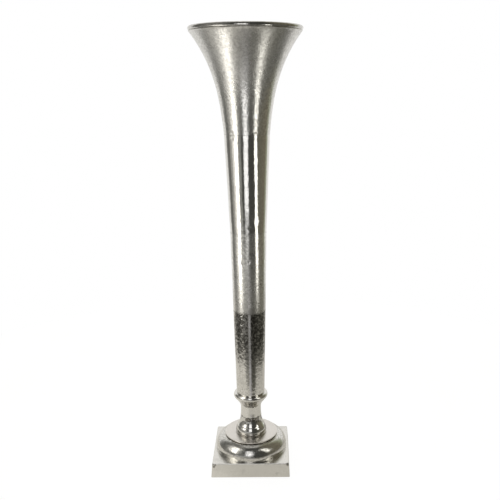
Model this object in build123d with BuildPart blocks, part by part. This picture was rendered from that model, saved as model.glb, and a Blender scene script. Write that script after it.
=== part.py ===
from build123d import *
import math
import os

os.makedirs("parts", exist_ok=True)

# Trumpet vase, cast in separate sections that one rod clamps together.
# Millimetres, +Z up, origin on the ground under the middle of the foot.

# Clearances and cutting overrun
fit_clearance = 0.3
thread_clearance = 0.1
rod_clearance = 0.5
overrun = 1.0

# Tie rod, a plain M10 stud
rod_radius = 5.0
rod_end_chamfer = 1.0
rod_below_nut = 3.0
rod_tip_gap = 1.0

# Felt pads under the corners
pad_radius = 11.0
pad_thickness = 3.0
pad_proud = 1.0
pad_land_radius = 14.0
pad_inset = 19.0

# Plinth, a square drafted tray cast upside down
plinth_foot_width = 181.5
plinth_top_width = 176.2
plinth_height = 33.0
plinth_wall = 6.0
plinth_roof = 6.0
plinth_corner_radius = 2.6
plinth_edge_radius = 1.8
plinth_boss_radius = 21.0
plinth_boss_height = 3.0
register_radius = 9.0
register_height = 4.0

# Foot moulding, the round cushion on the plinth
moulding_foot_radius = 84.0
moulding_widest_radius = 84.6
moulding_widest_rise = 4.5
moulding_shoulder_radius = 65.5
moulding_height = 35.0
moulding_wall = 6.0
moulding_boss_radius = 15.0
moulding_seat_radius = 57.5
moulding_seat_height = 1.0
# Where the roll bulges most: share of its width, share of its rise
roll_bulge_shares = (0.68, 0.63)

# Foot disc, the thin polished plate under the knop
disc_radius = 62.3
disc_thickness = 3.0
disc_edge_radius = 0.7
disc_register_height = 2.0

# Bell knop on the disc
knop_height = 43.0
knop_foot_radius = 35.0
knop_widest_radius = 36.4
knop_widest_rise = 4.5
knop_turn_radius = 31.9
knop_turn_rise = 19.5
knop_top_radius = 24.9
knop_wall = 6.0
knop_roof = 7.0
knop_core_foot_rise = 9.0
knop_edge_radius = 0.9
knop_spigot_height = 4.0

# Neck and bead under the tube
neck_height = 58.5
neck_foot_radius = 24.8
neck_foot_flare = 10.0
neck_radius = 24.1
neck_straight = 19.0
neck_foot_bend_radius = 24.0
neck_top_bend_radius = 24.0
neck_edge_chamfer = 0.6
neck_core_radius = 18.5
neck_roof = 9.0
bead_radius = 39.8
bead_height = 12.0
bead_underside_radius = 37.4
bead_top_radius = 37.3
# Height of the widest line of the bead, as a share of the bead's height
bead_widest_share = 0.5
neck_spigot_radius = 21.7
neck_spigot_height = 4.5

# Tube sections, cast tapered and joined by spigots
tube_wall = 4.5
foot_tube_length = 203.5
lower_tube_length = 185.0
upper_tube_length = 216.0
tube_foot_radius = 33.1
first_seam_radius = 37.2
second_seam_radius = 41.0
third_seam_radius = 50.2
spigot_length = 12.0
spigot_wall = 2.1
tube_flange_thickness = 6.0

# Mouth: a flare that opens ever faster, with a rolled lip
mouth_length = 222.0
flare_end_radius = 119.5
lip_roll_radius = 4.8
lip_proud = 1.5
lip_groove_depth = 1.5
lip_groove_width = 1.2
flare_straight_share = 0.31
flare_power = 2.9
flare_steps = 7

# Watertight floor of the tube, with its blind threaded boss
floor_thickness = 5.0
floor_boss_radius = 10.0
floor_boss_height = 12.5
floor_boss_edge_radius = 3.0
seal_thickness = 1.5
seal_inner_radius = 23.0

# Nut and washers under the plinth
flat_washer_radius = 17.0
flat_washer_thickness = 2.5
lock_washer_radius = 9.05
lock_washer_thickness = 2.2
lock_washer_gap = 1.5
lock_washer_tilt = 25.0
nut_sides = 6
nut_across_flats = 16.0
nut_height = 8.0
nut_chamfer_angle = 30.0
nut_bore_chamfer = 0.6

# Levels, stacked from the ground up
plinth_foot_z = pad_proud
plinth_top_z = plinth_foot_z + plinth_height
moulding_top_z = plinth_top_z + moulding_height
disc_top_z = moulding_top_z + disc_thickness
knop_top_z = disc_top_z + knop_height
neck_top_z = knop_top_z + neck_height
first_seam_z = neck_top_z + foot_tube_length
second_seam_z = first_seam_z + lower_tube_length
third_seam_z = second_seam_z + upper_tube_length
mouth_top_z = third_seam_z + mouth_length
seal_foot_z = neck_top_z + tube_flange_thickness
floor_foot_z = seal_foot_z + seal_thickness
floor_top_z = floor_foot_z + floor_thickness
plinth_boss_z = plinth_top_z - plinth_roof - plinth_boss_height
lock_washer_top_z = plinth_boss_z - flat_washer_thickness
nut_top_z = lock_washer_top_z - lock_washer_thickness
nut_foot_z = nut_top_z - nut_height

# Sizes shared by neighbouring pieces
rod_hole_radius = rod_radius + rod_clearance
thread_radius = rod_radius + thread_clearance
knop_core_foot_radius = knop_foot_radius - knop_wall
neck_spigot_hole_radius = neck_spigot_radius + fit_clearance


def seam_spigot(seam_radius):
    """Inner and outer radius of the spigot that rises through a seam."""
    inner = seam_radius - tube_wall
    return inner, inner + spigot_wall


def socket_points(seam_radius, seam_z):
    """Bore of a section's socket, from its roof down to its outer edge."""
    inner, outer = seam_spigot(seam_radius)
    bore = outer + fit_clearance
    roof_z = seam_z + spigot_length + fit_clearance
    return [(inner, roof_z), (bore, roof_z), (bore, seam_z), (seam_radius, seam_z)]


def spigot_points(seam_radius, seam_z):
    """Top of a section, from its shoulder up over the spigot."""
    inner, outer = seam_spigot(seam_radius)
    tip_z = seam_z + spigot_length
    return [(seam_radius, seam_z), (outer, seam_z), (outer, tip_z), (inner, tip_z), (inner, seam_z)]


def flare_radius(share):
    """Outer radius of the mouth at a share of the flare's height."""
    opening = flare_straight_share * share + (1 - flare_straight_share) * share**flare_power
    return third_seam_radius + (flare_end_radius - third_seam_radius) * opening


def flare_slope(share):
    """How much the mouth's radius grows per millimetre of height."""
    growth = flare_straight_share + (1 - flare_straight_share) * flare_power * share ** (flare_power - 1)
    return (flare_end_radius - third_seam_radius) / flare_height * growth


def flare_inner_radius(share):
    """Inner radius of the mouth, with the wall measured square to the outer face."""
    return flare_radius(share) - tube_wall * math.hypot(1, flare_slope(share))


# The lip's roll stands a little proud of the flare, with a fine groove under it
lip_centre_radius = flare_end_radius + lip_proud - lip_roll_radius
lip_centre_z = mouth_top_z - lip_roll_radius
groove_radius = flare_end_radius - lip_groove_depth
groove_top_z = lip_centre_z - math.sqrt(lip_roll_radius**2 - (groove_radius - lip_centre_radius) ** 2)
flare_end_z = groove_top_z - lip_groove_width
flare_height = flare_end_z - third_seam_z

# Plinth: drafted block, hollow beneath, with a boss for the rod and a land for each pad
plinth_draft = math.degrees(math.atan((plinth_foot_width - plinth_top_width) / 2 / plinth_height))
pad_centre = plinth_foot_width / 2 - pad_inset
pad_spacing = 2 * pad_centre
land_z = pad_thickness

with BuildPart() as plinth:
    with BuildSketch(Plane.XY.offset(plinth_foot_z)):
        Rectangle(plinth_foot_width, plinth_foot_width)
    extrude(amount=plinth_height, taper=plinth_draft)
    fillet(plinth.edges().group_by(Axis.Z)[1], plinth_corner_radius)
    fillet(plinth.faces().sort_by(Axis.Z)[-1].edges(), plinth_edge_radius)
    with BuildSketch(Plane.XY.offset(plinth_foot_z)):
        Rectangle(plinth_foot_width - 2 * plinth_wall, plinth_foot_width - 2 * plinth_wall)
    extrude(amount=plinth_height - plinth_roof, taper=plinth_draft, mode=Mode.SUBTRACT)
    with BuildSketch(Plane.XY.offset(plinth_boss_z)):
        Circle(plinth_boss_radius)
    extrude(amount=plinth_boss_height)
    with BuildSketch(Plane.XY.offset(land_z)):
        with GridLocations(pad_spacing, pad_spacing, 2, 2):
            Circle(pad_land_radius)
    extrude(amount=plinth_top_z - plinth_roof - land_z)
    with Locations((0, 0, plinth_top_z)):
        Hole(register_radius + fit_clearance, depth=plinth_roof + plinth_boss_height)
plinth.part.label = "plinth"
export_step(plinth.part, "parts/plinth.step")

# Felt pads: one under each land, standing a little below the plinth's rim
with BuildPart() as felt_pads:
    with BuildSketch():
        with GridLocations(pad_spacing, pad_spacing, 2, 2):
            Circle(pad_radius)
    extrude(amount=pad_thickness)
felt_pads.part.label = "felt_pads"
export_step(felt_pads.part, "parts/felt_pads.step")

# Foot moulding: a rolled cushion, hollow beneath, round a central boss
moulding_widest_z = plinth_top_z + moulding_widest_rise
moulding_shoulder_z = moulding_top_z - moulding_seat_height
moulding_roof_z = moulding_shoulder_z - moulding_wall
moulding_core_shoulder = moulding_shoulder_radius - moulding_wall / 2
moulding_core_radius = moulding_widest_radius - moulding_wall
moulding_core_foot = moulding_foot_radius - moulding_wall


def roll_bulge(shoulder_radius, shoulder_z, widest_radius, widest_z):
    """The point half way round a roll, between its shoulder and its widest line."""
    across, up = roll_bulge_shares
    radius = shoulder_radius + (widest_radius - shoulder_radius) * across
    return radius, widest_z + (shoulder_z - widest_z) * up


with BuildPart() as foot_moulding:
    with BuildSketch(Plane.XZ):
        with BuildLine():
            roll = ThreePointArc(
                (moulding_widest_radius, moulding_widest_z),
                roll_bulge(
                    moulding_shoulder_radius, moulding_shoulder_z, moulding_widest_radius, moulding_widest_z
                ),
                (moulding_shoulder_radius, moulding_shoulder_z),
            )
            TangentArc(
                (moulding_widest_radius, moulding_widest_z),
                (moulding_foot_radius, plinth_top_z),
                tangent=-(roll % 0),
            )
            ThreePointArc(
                (moulding_core_radius, moulding_widest_z),
                roll_bulge(moulding_core_shoulder, moulding_roof_z, moulding_core_radius, moulding_widest_z),
                (moulding_core_shoulder, moulding_roof_z),
            )
            Polyline(
                (moulding_foot_radius, plinth_top_z),
                (moulding_core_foot, plinth_top_z),
                (moulding_core_radius, moulding_widest_z),
            )
            Polyline(
                (moulding_core_shoulder, moulding_roof_z),
                (moulding_boss_radius, moulding_roof_z),
                (moulding_boss_radius, plinth_top_z),
                (register_radius, plinth_top_z),
                (register_radius, plinth_top_z - register_height),
                (rod_hole_radius, plinth_top_z - register_height),
                (rod_hole_radius, moulding_top_z),
                (moulding_seat_radius, moulding_top_z),
                (moulding_seat_radius, moulding_shoulder_z),
                (moulding_shoulder_radius, moulding_shoulder_z),
            )
        make_face()
    revolve(axis=Axis.Z)
foot_moulding.part.label = "foot_moulding"
export_step(foot_moulding.part, "parts/foot_moulding.step")

# Foot disc: thin plate with a rounded rim and a raised register inside the knop
with BuildPart() as foot_disc:
    with BuildSketch(Plane.XY.offset(moulding_top_z)):
        Circle(disc_radius)
    extrude(amount=disc_thickness)
    fillet(foot_disc.edges(), disc_edge_radius)
    with BuildSketch(Plane.XY.offset(disc_top_z)):
        Circle(knop_core_foot_radius - fit_clearance)
    extrude(amount=disc_register_height)
    with Locations((0, 0, disc_top_z + disc_register_height)):
        Hole(rod_hole_radius, depth=disc_thickness + disc_register_height)
foot_disc.part.label = "foot_disc"
export_step(foot_disc.part, "parts/foot_disc.step")

# Bell knop: a cove that turns into a rounded foot, cored from beneath, with a spigot into the neck
knop_widest_z = disc_top_z + knop_widest_rise
knop_turn_z = disc_top_z + knop_turn_rise
knop_roof_z = knop_top_z - knop_roof
knop_spigot_radius = neck_core_radius - fit_clearance
knop_lean = 2 * math.atan2(knop_turn_radius - knop_top_radius, knop_top_z - knop_turn_z)
knop_core_turn_radius = knop_turn_radius - knop_wall / math.cos(knop_lean)
knop_core_top_radius = knop_top_radius - knop_wall

with BuildPart() as bell_knop:
    with BuildSketch(Plane.XZ):
        with BuildLine():
            cove = TangentArc(
                (knop_top_radius, knop_top_z),
                (knop_turn_radius, knop_turn_z),
                tangent=(0, -1),
            )
            swell = TangentArc(
                (knop_turn_radius, knop_turn_z),
                (knop_widest_radius, knop_widest_z),
                tangent=cove % 1,
            )
            TangentArc(
                (knop_widest_radius, knop_widest_z),
                (knop_foot_radius, disc_top_z),
                tangent=swell % 1,
            )
            Polyline(
                (knop_top_radius, knop_top_z),
                (knop_spigot_radius, knop_top_z),
                (knop_spigot_radius, knop_top_z + knop_spigot_height),
                (rod_hole_radius, knop_top_z + knop_spigot_height),
                (rod_hole_radius, knop_roof_z),
                (knop_core_top_radius, knop_roof_z),
                (knop_core_turn_radius, knop_turn_z),
                (knop_core_foot_radius, disc_top_z + knop_core_foot_rise),
                (knop_core_foot_radius, disc_top_z),
                (knop_foot_radius, disc_top_z),
            )
        make_face()
    revolve(axis=Axis.Z)
    top_edges = bell_knop.edges().filter_by_position(Axis.Z, knop_top_z, knop_top_z)
    fillet(top_edges.filter_by(GeomType.CIRCLE).sort_by(SortBy.RADIUS)[-1], knop_edge_radius)
bell_knop.part.label = "bell_knop"
export_step(bell_knop.part, "parts/bell_knop.step")

# Neck collar: slim neck that spreads into the bead on which the tube stands
neck_straight_foot_z = knop_top_z + neck_foot_flare
neck_straight_top_z = neck_straight_foot_z + neck_straight
bead_foot_z = neck_top_z - bead_height
bead_widest_z = bead_foot_z + bead_height * bead_widest_share
neck_roof_z = neck_top_z - neck_roof

with BuildPart() as neck_collar:
    with BuildSketch(Plane.XZ):
        with BuildLine():
            FilletPolyline(
                (neck_foot_radius, knop_top_z),
                (neck_radius, neck_straight_foot_z),
                (neck_radius, neck_straight_top_z),
                (bead_underside_radius, bead_foot_z),
                radius=[neck_foot_bend_radius, neck_top_bend_radius],
            )
            ThreePointArc(
                (bead_underside_radius, bead_foot_z),
                (bead_radius, bead_widest_z),
                (bead_top_radius, neck_top_z),
            )
            Polyline(
                (bead_top_radius, neck_top_z),
                (neck_spigot_radius, neck_top_z),
                (neck_spigot_radius, neck_top_z + neck_spigot_height),
                (rod_hole_radius, neck_top_z + neck_spigot_height),
                (rod_hole_radius, neck_roof_z),
                (neck_core_radius, neck_roof_z),
                (neck_core_radius, knop_top_z),
                (neck_foot_radius, knop_top_z),
            )
        make_face()
    revolve(axis=Axis.Z)
    foot_edges = neck_collar.edges().filter_by_position(Axis.Z, knop_top_z, knop_top_z)
    chamfer(foot_edges.filter_by(GeomType.CIRCLE).sort_by(SortBy.RADIUS)[-1], neck_edge_chamfer)
neck_collar.part.label = "neck_collar"
export_step(neck_collar.part, "parts/neck_collar.step")

# Foot tube: lowest section, with an inward flange that carries the floor
flange_share = tube_flange_thickness / foot_tube_length
flange_outer_radius = tube_foot_radius + (first_seam_radius - tube_foot_radius) * flange_share
flange_bore_radius = flange_outer_radius - tube_wall

with BuildPart() as foot_tube:
    with BuildSketch(Plane.XZ):
        with BuildLine():
            Polyline(
                (neck_spigot_hole_radius, neck_top_z),
                (tube_foot_radius, neck_top_z),
                *spigot_points(first_seam_radius, first_seam_z),
                (flange_bore_radius, seal_foot_z),
                (neck_spigot_hole_radius, seal_foot_z),
                close=True,
            )
        make_face()
    revolve(axis=Axis.Z)
foot_tube.part.label = "foot_tube"
export_step(foot_tube.part, "parts/foot_tube.step")

# Lower tube: tapered, open at both ends
with BuildPart() as lower_tube:
    with BuildSketch(Plane.XZ):
        with BuildLine():
            Polyline(
                *socket_points(first_seam_radius, first_seam_z),
                *spigot_points(second_seam_radius, second_seam_z),
                close=True,
            )
        make_face()
    revolve(axis=Axis.Z)
lower_tube.part.label = "lower_tube"
export_step(lower_tube.part, "parts/lower_tube.step")

# Upper tube: the same form with more taper
with BuildPart() as upper_tube:
    with BuildSketch(Plane.XZ):
        with BuildLine():
            Polyline(
                *socket_points(second_seam_radius, second_seam_z),
                *spigot_points(third_seam_radius, third_seam_z),
                close=True,
            )
        make_face()
    revolve(axis=Axis.Z)
upper_tube.part.label = "upper_tube"
export_step(upper_tube.part, "parts/upper_tube.step")

# Trumpet mouth: even wall up the flare, a fine groove, then the rolled lip
flare_shares = [step / flare_steps for step in range(flare_steps + 1)]
outer_flare = [(flare_radius(share), third_seam_z + flare_height * share) for share in flare_shares]
socket_roof_z = third_seam_z + spigot_length + fit_clearance
socket_roof_share = (socket_roof_z - third_seam_z) / flare_height
inner_shares = [socket_roof_share + (1 - socket_roof_share) * share for share in flare_shares]
inner_flare = [(flare_inner_radius(share), third_seam_z + flare_height * share) for share in inner_shares]
lip_root_radius = flare_inner_radius(1)
lip_root_angle = math.atan2(flare_end_z - lip_centre_z, lip_root_radius - lip_centre_radius)
lip_root = (
    lip_centre_radius + lip_roll_radius * math.cos(lip_root_angle),
    lip_centre_z + lip_roll_radius * math.sin(lip_root_angle),
)
third_socket = socket_points(third_seam_radius, third_seam_z)

with BuildPart() as trumpet_mouth:
    with BuildSketch(Plane.XZ):
        with BuildLine():
            Spline(*outer_flare, tangents=[(flare_slope(0), 1), (flare_slope(1), 1)])
            Line(outer_flare[-1], (groove_radius, groove_top_z))
            ThreePointArc((groove_radius, groove_top_z), (lip_centre_radius, mouth_top_z), lip_root)
            Line(lip_root, inner_flare[-1])
            Spline(*inner_flare, tangents=[(flare_slope(socket_roof_share), 1), (flare_slope(1), 1)])
            Polyline(inner_flare[0], *third_socket[1:])
        make_face()
    revolve(axis=Axis.Z)
trumpet_mouth.part.label = "trumpet_mouth"
export_step(trumpet_mouth.part, "parts/trumpet_mouth.step")

# Floor seal: flat ring squeezed between the flange and the floor
floor_radius = flange_bore_radius - fit_clearance

with BuildPart() as floor_seal:
    with BuildSketch(Plane.XY.offset(seal_foot_z)):
        Circle(floor_radius)
        Circle(seal_inner_radius, mode=Mode.SUBTRACT)
    extrude(amount=seal_thickness)
floor_seal.part.label = "floor_seal"
export_step(floor_seal.part, "parts/floor_seal.step")

# Tube floor: disc with a domed blind boss, tapped from beneath for the rod
thread_depth = floor_thickness + floor_boss_height - floor_boss_edge_radius

with BuildPart() as tube_floor:
    with BuildSketch(Plane.XY.offset(floor_foot_z)):
        Circle(floor_radius)
    extrude(amount=floor_thickness)
    with BuildSketch(Plane.XY.offset(floor_top_z)):
        Circle(floor_boss_radius)
    extrude(amount=floor_boss_height)
    fillet(tube_floor.faces().sort_by(Axis.Z)[-1].edges(), floor_boss_edge_radius)
    with BuildSketch(Plane.XY.offset(floor_foot_z)):
        Circle(thread_radius)
    extrude(amount=thread_depth, mode=Mode.SUBTRACT)
tube_floor.part.label = "tube_floor"
export_step(tube_floor.part, "parts/tube_floor.step")

# Tie rod: from the floor's boss down through every casting to below the nut
rod_foot_z = nut_foot_z - rod_below_nut
rod_top_z = floor_foot_z + thread_depth - rod_tip_gap

with BuildPart() as tie_rod:
    with BuildSketch(Plane.XY.offset(rod_foot_z)):
        Circle(rod_radius)
    extrude(amount=rod_top_z - rod_foot_z)
    chamfer(tie_rod.edges().filter_by(GeomType.CIRCLE), rod_end_chamfer)
tie_rod.part.label = "tie_rod"
export_step(tie_rod.part, "parts/tie_rod.step")

# Flat washer: wide enough to bridge the register hole in the plinth's boss
with BuildPart() as flat_washer:
    with BuildSketch(Plane.XY.offset(lock_washer_top_z)):
        Circle(flat_washer_radius)
        Circle(rod_hole_radius, mode=Mode.SUBTRACT)
    extrude(amount=flat_washer_thickness)
flat_washer.part.label = "flat_washer"
export_step(flat_washer.part, "parts/flat_washer.step")

# Lock washer: spring ring with a slanted split
split_centre = (0, lock_washer_radius, nut_top_z + lock_washer_thickness / 2)
split_plane = Plane(split_centre).rotated((0, lock_washer_tilt, 0))

with BuildPart() as lock_washer:
    with BuildSketch(Plane.XY.offset(nut_top_z)):
        Circle(lock_washer_radius)
        Circle(rod_hole_radius, mode=Mode.SUBTRACT)
    extrude(amount=lock_washer_thickness)
    with BuildSketch(split_plane):
        Rectangle(lock_washer_gap, 2 * (lock_washer_radius - overrun))
    extrude(amount=lock_washer_thickness + overrun, both=True, mode=Mode.SUBTRACT)
lock_washer.part.label = "lock_washer"
export_step(lock_washer.part, "parts/lock_washer.step")

# Hex nut: hexagon with both faces chamfered to a circle
nut_corner_radius = nut_across_flats / 2 / math.cos(math.pi / nut_sides)
nut_corner_chamfer = (nut_corner_radius - nut_across_flats / 2) * math.tan(math.radians(nut_chamfer_angle))

with BuildPart() as hex_nut:
    with BuildSketch(Plane.XY.offset(nut_foot_z)):
        RegularPolygon(nut_across_flats / 2, nut_sides, major_radius=False)
    extrude(amount=nut_height)
    with BuildSketch(Plane.XZ):
        with BuildLine():
            Polyline(
                (0, nut_foot_z),
                (nut_across_flats / 2, nut_foot_z),
                (nut_corner_radius, nut_foot_z + nut_corner_chamfer),
                (nut_corner_radius, nut_top_z - nut_corner_chamfer),
                (nut_across_flats / 2, nut_top_z),
                (0, nut_top_z),
                close=True,
            )
        make_face()
    revolve(axis=Axis.Z, mode=Mode.INTERSECT)
    with Locations((0, 0, nut_top_z)):
        Hole(thread_radius, depth=nut_height)
    chamfer(hex_nut.edges().filter_by(GeomType.CIRCLE).sort_by(SortBy.RADIUS)[:2], nut_bore_chamfer)
hex_nut.part.label = "hex_nut"
export_step(hex_nut.part, "parts/hex_nut.step")
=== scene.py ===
"""Trumpet vase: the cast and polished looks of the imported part, with its studio.

Metres, +Z up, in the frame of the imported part. The camera looks along +Y.
"""

import logging
import math
from dataclasses import dataclass, field
from enum import Enum
from typing import Callable, Iterable, Union

import bpy
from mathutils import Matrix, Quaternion, Vector, noise


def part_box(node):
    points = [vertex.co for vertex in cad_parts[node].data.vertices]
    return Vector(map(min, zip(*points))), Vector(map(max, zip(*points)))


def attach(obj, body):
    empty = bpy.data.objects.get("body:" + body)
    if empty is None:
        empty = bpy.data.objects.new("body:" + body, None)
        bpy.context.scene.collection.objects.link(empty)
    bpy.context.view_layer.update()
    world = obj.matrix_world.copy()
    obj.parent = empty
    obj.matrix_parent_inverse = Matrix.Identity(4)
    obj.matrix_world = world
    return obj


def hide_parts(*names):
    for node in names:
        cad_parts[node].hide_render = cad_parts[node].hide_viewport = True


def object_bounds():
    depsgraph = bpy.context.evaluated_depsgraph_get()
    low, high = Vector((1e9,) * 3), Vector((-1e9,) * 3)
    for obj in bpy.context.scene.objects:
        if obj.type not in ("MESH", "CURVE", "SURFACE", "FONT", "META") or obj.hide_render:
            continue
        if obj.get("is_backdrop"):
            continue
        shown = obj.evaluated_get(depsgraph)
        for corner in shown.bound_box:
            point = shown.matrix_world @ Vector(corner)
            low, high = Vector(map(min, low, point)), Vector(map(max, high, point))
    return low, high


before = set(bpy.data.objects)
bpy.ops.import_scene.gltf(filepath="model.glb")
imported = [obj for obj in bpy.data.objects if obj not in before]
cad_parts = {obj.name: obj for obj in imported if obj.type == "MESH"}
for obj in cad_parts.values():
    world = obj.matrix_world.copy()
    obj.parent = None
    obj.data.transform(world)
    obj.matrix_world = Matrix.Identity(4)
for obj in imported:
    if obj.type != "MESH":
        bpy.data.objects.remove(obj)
log = logging.getLogger("trumpet_vase")

Colour = tuple[float, float, float]
Place = tuple[float, float, float]
Point = tuple[float, float]
Face = tuple[int, ...]

BODY = "root"
SHARP_ANGLE = math.radians(34)
OPAQUE = 1.0


class Slot(Enum):
    """Material slots of the record."""

    CAST = "cast_nickel"
    POLISHED = "polished_nickel"
    PLINTH = "plinth_nickel"
    ZINC = "zinc_steel"
    FELT = "felt"
    RUBBER = "seal_rubber"


# Shader graphs


@dataclass(frozen=True)
class Wire:
    """The output socket of a node, which Python operators can combine with others."""

    graph: "Graph"
    socket: bpy.types.NodeSocket

    def __add__(self, other: "Term") -> "Wire":
        """Sum of two values."""
        return self.graph.maths("ADD", self, other)

    def __radd__(self, other: "Term") -> "Wire":
        """Sum of two values, this one second."""
        return self.graph.maths("ADD", other, self)

    def __sub__(self, other: "Term") -> "Wire":
        """This value less the other."""
        return self.graph.maths("SUBTRACT", self, other)

    def __rsub__(self, other: "Term") -> "Wire":
        """The other value less this one."""
        return self.graph.maths("SUBTRACT", other, self)

    def __mul__(self, other: "Term") -> "Wire":
        """Product of two values."""
        return self.graph.maths("MULTIPLY", self, other)

    def __rmul__(self, other: "Term") -> "Wire":
        """Product of two values, this one second."""
        return self.graph.maths("MULTIPLY", other, self)

    def __truediv__(self, other: "Term") -> "Wire":
        """This value divided by the other."""
        return self.graph.maths("DIVIDE", self, other)


Term = Union[Wire, float]


class Graph:
    """The node tree of one material or world."""

    def __init__(self, tree: bpy.types.NodeTree) -> None:
        """Starts with an empty tree.

        Args:
            tree: The tree to fill.
        """
        self.tree = tree
        tree.nodes.clear()

    def add(
        self, kind: str, settings: dict | None = None, inputs: dict | None = None, out: int | str = 0
    ) -> Wire:
        """Adds one node.

        Args:
            kind: The node's type.
            settings: Its settings, set first. The key stops fills a colour ramp.
            inputs: Values or wires for its sockets, by name or number.
            out: Which output is wanted.

        Returns:
            The wire of that output, or of the first input of a node without outputs.
        """
        node = self.tree.nodes.new(kind)
        for key, value in (settings or {}).items():
            if key == "stops":
                self._fill_ramp(node.color_ramp, value)
            else:
                setattr(node, key, value)
        for key, value in (inputs or {}).items():
            if isinstance(value, Wire):
                self.tree.links.new(value.socket, node.inputs[key])
            else:
                node.inputs[key].default_value = value
        return Wire(self, node.outputs[out] if node.outputs else node.inputs[0])

    @staticmethod
    def _fill_ramp(ramp: bpy.types.ColorRamp, stops: list[tuple[float, Colour]]) -> None:
        """Sets a ramp's stops.

        Args:
            ramp: The colour ramp.
            stops: Positions with their colours, in rising order.
        """
        while len(ramp.elements) < len(stops):
            ramp.elements.new(1.0)
        for element, (position, colour) in zip(ramp.elements, stops):
            element.position = position
            element.color = (*colour, OPAQUE)

    def maths(self, operation: str, *terms: Term) -> Wire:
        """A Math node on values."""
        return self.add("ShaderNodeMath", {"operation": operation}, dict(enumerate(terms)))

    def vector(self, operation: str, *terms: Union[Wire, Colour], out: str = "Vector") -> Wire:
        """A Vector Math node."""
        return self.add("ShaderNodeVectorMath", {"operation": operation}, dict(enumerate(terms)), out)

    def mix(self, factor: Term, first: Union[Wire, Colour], second: Union[Wire, Colour]) -> Wire:
        """A blend of two colours.

        Args:
            factor: Share of the second colour.
            first: Colour at 0.
            second: Colour at 1.

        Returns:
            The mixed colour.
        """
        colours = [c if isinstance(c, Wire) else (*c, OPAQUE) for c in (first, second)]
        return self.add("ShaderNodeMix", {"data_type": "RGBA"}, {0: factor, 6: colours[0], 7: colours[1]}, 2)

    def rise(self, value: Term, low: float, high: float) -> Wire:
        """A smooth step, which falls where low is above high.

        Args:
            value: The value that it follows.
            low: Where the step is 0.
            high: Where it is 1.

        Returns:
            The step, from 0 to 1.
        """
        if low > high:
            return 1.0 - self.rise(value, high, low)
        settings = {"interpolation_type": "SMOOTHSTEP"}
        return self.add("ShaderNodeMapRange", settings, {"Value": value, "From Min": low, "From Max": high})

    def ramp(self, bearing: Wire, stops: Iterable[tuple[float, Colour]]) -> Wire:
        """A colour that changes with the bearing.

        Args:
            bearing: The bearing in degrees.
            stops: Bearings with their colours, in rising order.

        Returns:
            The colour.
        """
        shares = [(degrees / 360 + 0.5, colour) for degrees, colour in stops]
        return self.add("ShaderNodeValToRGB", {"stops": shares}, {0: bearing / 360 + 0.5})

    def grain(
        self, place: Wire, size: float, detail: float = 2.0, rough: float = 0.5, shift: float = 0.0
    ) -> Wire:
        """Cloudy noise from 0 to 1.

        Args:
            place: Position on the piece.
            size: Width of one cloud in metres.
            detail: How many finer layers it has.
            rough: How strong the finer layers are.
            shift: Moves the pattern, so that two of one size differ.

        Returns:
            The noise value.
        """
        moved = self.vector("ADD", place, (shift, shift, shift)) if shift else place
        inputs = {"Vector": moved, "Scale": 1 / size, "Detail": detail, "Roughness": rough}
        return self.add("ShaderNodeTexNoise", {}, inputs)


def bearing_of(graph: Graph, place: Wire) -> Wire:
    """Bearing of a place or direction in degrees.

    Args:
        graph: The graph to add to.
        place: The place or direction.

    Returns:
        Degrees from the front, to the right as the camera sees it.
    """
    across = graph.add("ShaderNodeSeparateXYZ", {}, {0: place}, "X")
    deep = graph.add("ShaderNodeSeparateXYZ", {}, {0: place}, "Y")
    return graph.maths("ARCTAN2", across, 0.0 - deep) * (180 / math.pi)


# Finishes


@dataclass(frozen=True)
class Belt:
    """A stretch of a piece's height with darker colour and a ragged edge: real stain on some pieces, painted
    shade on others.
    """

    foot: float
    head: float
    foot_fade: float
    head_fade: float
    strength: float
    ragged: float = 0.004

    def mask(self, graph: Graph, height: Wire, edge_noise: Wire) -> Wire:
        """The share of the belt's darkening at a height.

        Args:
            graph: The material's graph.
            height: Height on the piece.
            edge_noise: Noise that shifts the edges.

        Returns:
            A value from 0 to the belt's strength.
        """
        level = height + (edge_noise - 0.5) * (2 * self.ragged)
        rising = graph.rise(level, self.foot - self.foot_fade, self.foot)
        falling = graph.rise(level, self.head + self.head_fade, self.head)
        return rising * falling * self.strength


@dataclass(frozen=True)
class Mark:
    """A round darker spot: pits and bruises in a casting's skin, and on the knop's sides patches of painted
    shade.
    """

    centre: Place
    radius: float
    strength: float

    def mask(self, graph: Graph, place: Wire) -> Wire:
        """The share of the mark at a place.

        Args:
            graph: The material's graph.
            place: Position on the piece.

        Returns:
            A value from 0 to the mark's strength.
        """
        away = graph.vector("DISTANCE", place, self.centre, out="Value")
        return graph.rise(away, self.radius, self.radius / 2) * self.strength


@dataclass(frozen=True)
class HighlightStripe:
    """A stripe down a piece, lined up with a lamp's reflection, where the darkening is left out: a painted
    highlight.
    """

    bearing: float
    half_width: float
    strength: float

    def mask(self, graph: Graph, place: Wire) -> Wire:
        """The share of the painted highlight at a place.

        Args:
            graph: The material's graph.
            place: Position on the piece.

        Returns:
            A value from 0 to the stripe's strength.
        """
        aside = graph.maths("ABSOLUTE", bearing_of(graph, place) - self.bearing)
        return graph.rise(aside, self.half_width, self.half_width / 2) * self.strength


class Finish:
    """What all finishes share: making the material and wiring its surface."""

    name: str

    def surface(self, graph: Graph, place: Wire) -> Wire:
        """The surface shader.

        Args:
            graph: The material's graph.
            place: Position on the piece, in metres.

        Returns:
            The shader's wire.
        """
        raise NotImplementedError

    def material(self) -> bpy.types.Material:
        """The finished material.

        Returns:
            A new material with this finish.
        """
        made = bpy.data.materials.new(self.name)
        made.use_nodes = True
        graph = Graph(made.node_tree)
        place = graph.add("ShaderNodeTexCoord", out="Object")
        graph.add("ShaderNodeOutputMaterial", {}, {"Surface": self.surface(graph, place)})
        return made


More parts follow.
